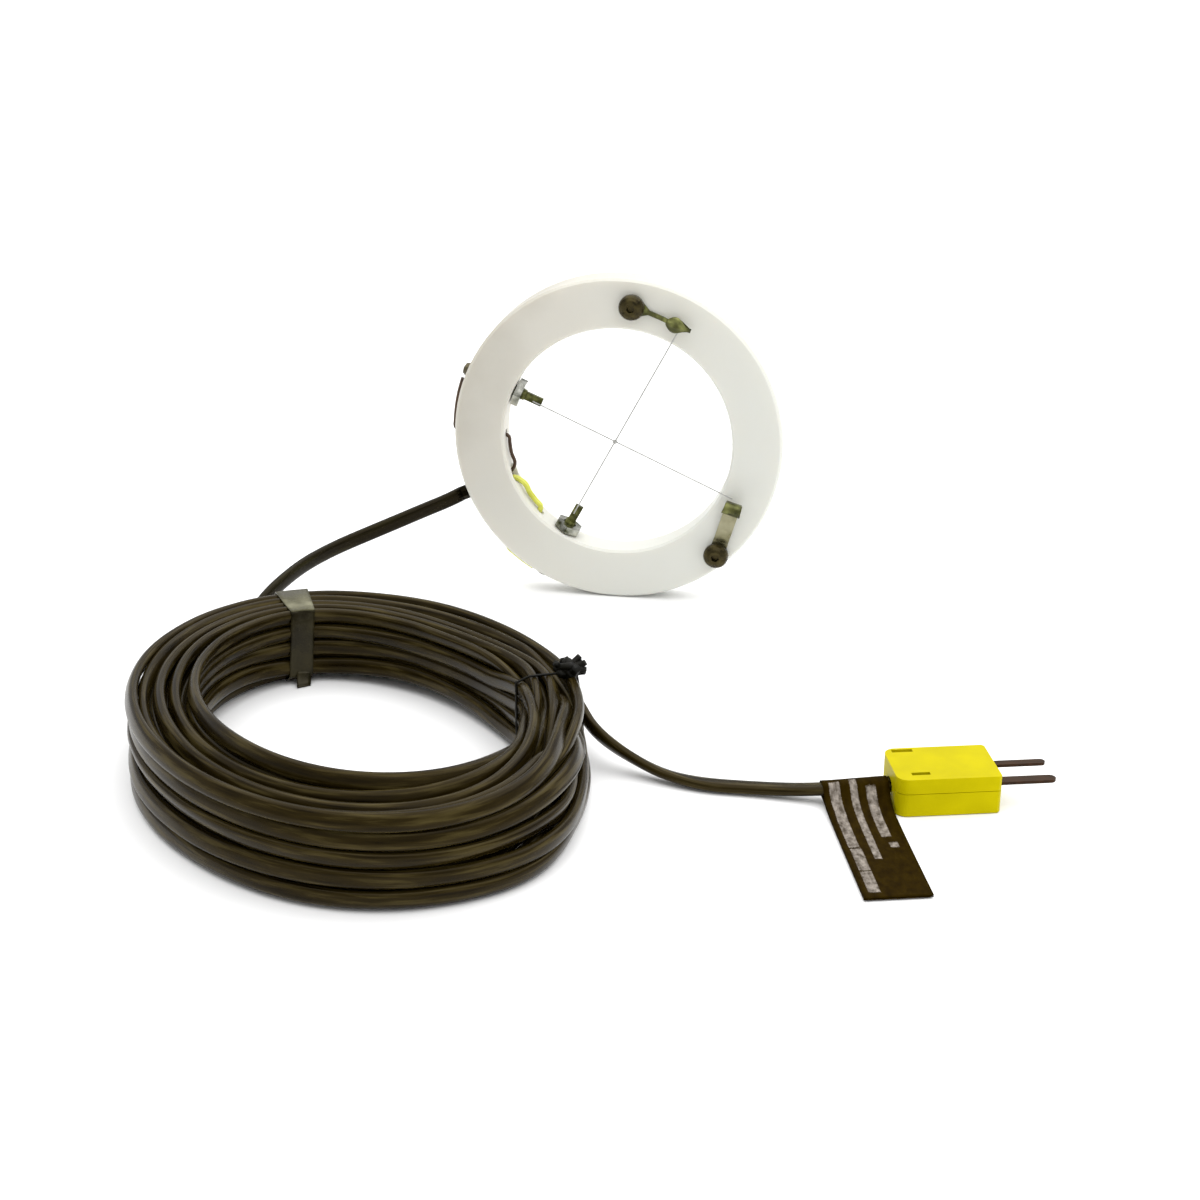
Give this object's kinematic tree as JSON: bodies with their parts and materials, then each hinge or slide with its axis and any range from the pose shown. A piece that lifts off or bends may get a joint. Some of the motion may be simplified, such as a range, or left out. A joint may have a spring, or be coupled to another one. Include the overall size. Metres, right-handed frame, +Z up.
{
  "type": "cross-wire thermocouple on a ring with miniature connector",
  "caption": "Air-stream temperature probe: plastic ring with a fine cross-wire junction held by tension springs, flat twin cable in a tied coil, flat-pin plug and flag label",
  "frame": {"origin": "on the floor, under the middle of the ring with its springs, screws, posts and conductors", "axes": "+Z up, +Y along the ring's axis and away from its open face, +X to the right when looking along +Y"},
  "size_m": [0.2054, 0.1803, 0.087],
  "materials": {
    "ring_plastic": "milky, slightly translucent",
    "brass": "dull",
    "dark_brass": "tarnished",
    "nickel": "nickel plated",
    "thermoelement_wire": "bright drawn wire",
    "solder": "dull solder",
    "brown_insulation": "satin",
    "yellow_insulation": "satin",
    "cable_jacket": "satin",
    "tie_tape": "glossy tape",
    "tie_black": "plastic-covered wire",
    "label_film": "dark film with silver bars",
    "connector_yellow": "moulded",
    "pin_alloy": "dark thermocouple alloy"
  },
  "bodies": {
    "probe": {"ring_body": "ring_plastic", "negative_post": "brass", "negative_post_nut": "nickel", "negative_solder_joint": "solder", "positive_post": "brass", "positive_post_nut": "nickel", "positive_solder_joint": "solder", "negative_sensing_wire": "thermoelement_wire", "positive_sensing_wire": "thermoelement_wire", "junction_bead": "thermoelement_wire", "top_tension_spring": "brass", "right_tension_spring": "brass", "cable_jacket_end": "cable_jacket", "negative_conductor": "brown_insulation", "positive_conductor": "yellow_insulation", "cable_to_ring": "cable_jacket", "cable_coil": "cable_jacket", "cable_to_connector": "cable_jacket", "coil_tape_tie": "tie_tape", "coil_wire_tie": "tie_black", "flag_label": "label_film", "connector_base": "connector_yellow", "positive_pin": "pin_alloy", "negative_pin": "pin_alloy", "positive_tail": "yellow_insulation", "negative_tail": "brown_insulation"},
    "top_screw": {"top_tension_screw": "dark_brass"},
    "right_screw": {"right_tension_screw": "dark_brass"},
    "cover": {"connector_cover": "connector_yellow"},
    "cover_fastener": {"cover_screw": "nickel"},
    "positive_terminal": {"positive_terminal_screw": "nickel"},
    "negative_terminal": {"negative_terminal_screw": "nickel"}
  },
  "joints": [
    {"name": "top_tension_screw_turn", "type": "hinge", "parent": "probe", "child": "top_screw", "pos_m": [0.00462, -0.00545, 0.08009], "axis": [0, 1, 0], "continuous": true},
    {"name": "right_tension_screw_turn", "type": "hinge", "parent": "probe", "child": "right_screw", "pos_m": [0.02762, -0.00545, 0.01396], "axis": [0, 1, 0], "continuous": true},
    {"name": "cover_lift", "type": "slide", "parent": "probe", "child": "cover", "axis": [0, 0, 1], "range_m": [0, 0.012]},
    {"name": "cover_screw_turn", "type": "hinge", "parent": "probe", "child": "cover_fastener", "pos_m": [0.08566, -0.10738, 0.0003], "axis": [0, 0, 1], "continuous": true},
    {"name": "positive_terminal_screw_turn", "type": "hinge", "parent": "probe", "child": "positive_terminal", "pos_m": [0.09163, -0.10174, 0.0066], "axis": [0, 0, 1], "continuous": true},
    {"name": "negative_terminal_screw_turn", "type": "hinge", "parent": "probe", "child": "negative_terminal", "pos_m": [0.09362, -0.10939, 0.0066], "axis": [0, 0, 1], "continuous": true}
  ]
}
